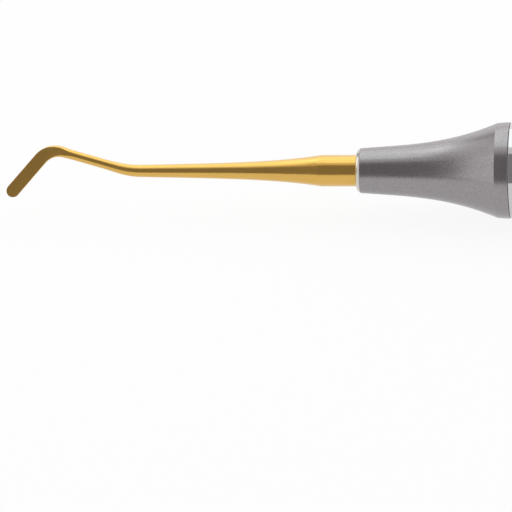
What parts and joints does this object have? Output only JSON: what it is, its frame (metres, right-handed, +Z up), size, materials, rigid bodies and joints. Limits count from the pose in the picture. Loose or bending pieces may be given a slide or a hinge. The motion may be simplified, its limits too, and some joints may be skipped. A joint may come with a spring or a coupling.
{
  "type": "dental elevator",
  "caption": "Double-ended dental elevator: thin gilt angled blades on tapered round shanks, set in flared satin end cones that screw into a hollow round grip.",
  "frame": {"origin": "middle of the grip's length, on its axis", "axes": "X along the grip, with the face-on angled blade (end A) at -X and the edge-on blade (end B) at +X; +Z up, the side the blade of end B is bent toward; +Y away from the viewer; the plane of both bends leans back 28 degrees from upright, toward +Y"},
  "size_m": [0.1704, 0.0092, 0.0093],
  "materials": {
    "polished_steel": "mirror polished stainless steel",
    "satin_steel": "bead-blasted satin stainless steel",
    "machined_steel": "turned stainless steel",
    "gilt_steel": "polished steel with a gold-coloured hard coating",
    "seal_rubber": "black silicone"
  },
  "bodies": {
    "handle": {"grip_tube": "polished_steel", "plug_a": "machined_steel", "plug_b": "machined_steel"},
    "seal_a": {"seal_a": "seal_rubber"},
    "end_a": {"cone_a": "satin_steel", "stud_a": "machined_steel", "tip_a": "gilt_steel"},
    "seal_b": {"seal_b": "seal_rubber"},
    "end_b": {"cone_b": "satin_steel", "stud_b": "machined_steel", "tip_b": "gilt_steel"}
  },
  "joints": [
    {"name": "end_a_travel", "type": "slide", "parent": "handle", "child": "seal_a", "axis": [-1, 0, 0], "range_m": [0, 0.0049]},
    {"name": "end_a_turn", "type": "hinge", "parent": "seal_a", "child": "end_a", "pos_m": [-0.036, 0, 0], "axis": [-1, 0, 0], "range_deg": [0, 2520]},
    {"name": "end_b_travel", "type": "slide", "parent": "handle", "child": "seal_b", "axis": [1, 0, 0], "range_m": [0, 0.0049]},
    {"name": "end_b_turn", "type": "hinge", "parent": "seal_b", "child": "end_b", "pos_m": [0.036, 0, 0], "axis": [1, 0, 0], "range_deg": [0, 2520]}
  ],
  "couplings": [
    {"joint": "end_a_turn", "follows": "end_a_travel", "rad_per_m": 8976},
    {"joint": "end_b_turn", "follows": "end_b_travel", "rad_per_m": 8976}
  ]
}
